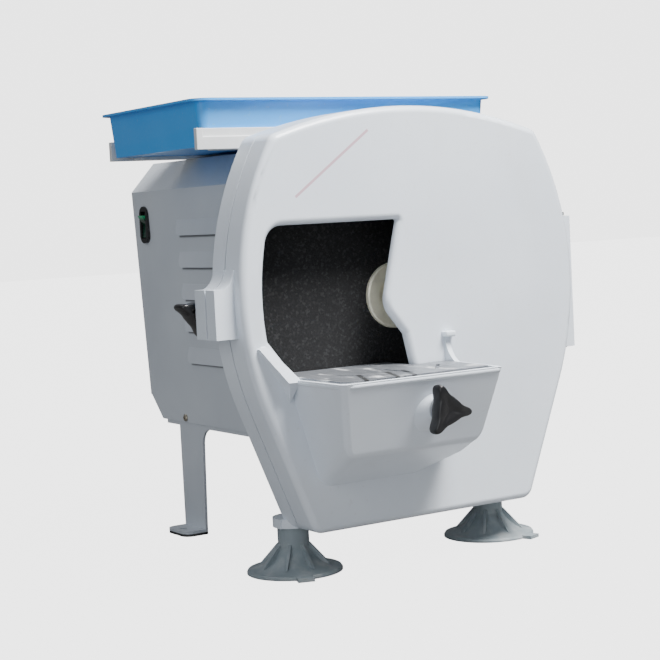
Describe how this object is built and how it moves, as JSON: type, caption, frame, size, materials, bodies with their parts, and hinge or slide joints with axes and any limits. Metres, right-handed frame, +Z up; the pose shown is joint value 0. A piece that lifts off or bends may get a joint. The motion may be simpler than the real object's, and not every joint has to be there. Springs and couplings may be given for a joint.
{
  "type": "dental model trimmer",
  "caption": "Bench-top wet trimmer: grit disc behind a hinged door with a hopper and tilting table, louvred motor cover, rear legs, suction feet and a lift-off pan on the roof.",
  "frame": {"origin": "on the bench under the middle of the machine's overall width and depth", "axes": "+Z up; the front with the window and hopper faces -Y; the hinge is on the +X side"},
  "size_m": [0.3914, 0.4534, 0.403],
  "materials": {
    "casting_paint": "smooth cool white enamel",
    "sheet_paint": "white enamel on folded sheet",
    "grit": "black silicon carbide grit",
    "bright_steel": "turned steel",
    "screw_steel": "bright plated",
    "cast_alloy": "turned casting",
    "table_alloy": "scratched plate",
    "shell_paint": "dark enamel",
    "lamination": "stacked laminations",
    "bearing_steel": "ground",
    "brass": "machined",
    "seal_rubber": "matt black",
    "cup_rubber": "gray, slightly dusty",
    "knob_plastic": "black, moulded",
    "fan_plastic": "black, moulded",
    "pan_plastic": "light blue, moulded",
    "rail_plastic": "off-white",
    "switch_plastic": "black",
    "rocker_plastic": "green, lit",
    "spout_plastic": "gray"
  },
  "bodies": {
    "base": {"housing": "casting_paint", "chassis": "sheet_paint", "motor_cover": "sheet_paint", "rear_panel": "sheet_paint", "door_gasket": "seal_rubber", "hinge_pin": "bright_steel", "shaft_seal": "seal_rubber", "front_bell": "cast_alloy", "rear_bell": "cast_alloy", "front_bearing": "bearing_steel", "rear_bearing": "bearing_steel", "motor_shell": "shell_paint", "stator_core": "lamination", "motor_cradle": "sheet_paint", "start_capacitor": "cast_alloy", "capacitor_saddle": "fan_plastic", "chamber_screws": "screw_steel", "chassis_screws": "screw_steel", "foot_pads": "seal_rubber", "cord_gland": "knob_plastic", "cover_screws": "screw_steel", "switch_body": "switch_plastic", "tray_rail_front": "rail_plastic", "tray_rail_rear": "rail_plastic", "water_tube": "bright_steel", "water_inlet": "brass", "drain_spout": "spout_plastic", "suction_cup_left": "cup_rubber", "suction_cup_right": "cup_rubber", "cup_studs": "screw_steel", "cup_nuts": "screw_steel"},
    "door": {"door": "casting_paint", "tilt_rod": "bright_steel", "clamp_nut": "screw_steel"},
    "table": {"work_table": "table_alloy", "table_bracket": "cast_alloy"},
    "table_clamp": {"table_knob": "knob_plastic", "table_stud": "bright_steel"},
    "latch_slide": {"latch_washer": "bright_steel"},
    "latch": {"latch_knob": "knob_plastic", "latch_stud": "bright_steel"},
    "wheel": {"abrasive_disc": "grit", "wheel_plate": "cast_alloy", "hub_washer": "bright_steel", "hub_screw": "brass", "motor_shaft": "bright_steel", "rotor_core": "lamination", "slinger": "seal_rubber", "cooling_fan": "fan_plastic"},
    "tray": {"utility_tray": "pan_plastic"},
    "rocker": {"switch_rocker": "rocker_plastic"}
  },
  "joints": [
    {"name": "door_hinge", "type": "hinge", "parent": "base", "child": "door", "pos_m": [0.18674, -0.10304, 0.228], "axis": [0, 0, 1], "range_deg": [0, 105]},
    {"name": "wheel_spin", "type": "hinge", "parent": "base", "child": "wheel", "pos_m": [0.00573, -0.08528, 0.228], "axis": [0, 1, 0], "continuous": true},
    {"name": "table_tilt", "type": "hinge", "parent": "door", "child": "table", "pos_m": [-0.04426, -0.14028, 0.157], "axis": [-1, 0, 0], "range_deg": [0, 6]},
    {"name": "table_knob_turn", "type": "hinge", "parent": "door", "child": "table_clamp", "pos_m": [-0.03726, -0.21529, 0.1415], "axis": [0, -1, 0], "range_deg": [0, 720]},
    {"name": "latch_travel", "type": "slide", "parent": "base", "child": "latch_slide", "axis": [0, 1, 0], "range_m": [0, 0.0138]},
    {"name": "latch_turn", "type": "hinge", "parent": "latch_slide", "child": "latch", "pos_m": [-0.17627, -0.07029, 0.225], "axis": [0, 1, 0], "range_deg": [0, 4000]},
    {"name": "tray_lift", "type": "slide", "parent": "base", "child": "tray", "axis": [0, 0, 1], "range_m": [0, 0.06]},
    {"name": "rocker_tilt", "type": "hinge", "parent": "base", "child": "rocker", "pos_m": [-0.08471, 0.19271, 0.2995], "axis": [0, 1, 0], "range_deg": [0, 24]}
  ],
  "couplings": [
    {"joint": "latch_turn", "follows": "latch_travel", "rad_per_m": 5026.5}
  ]
}
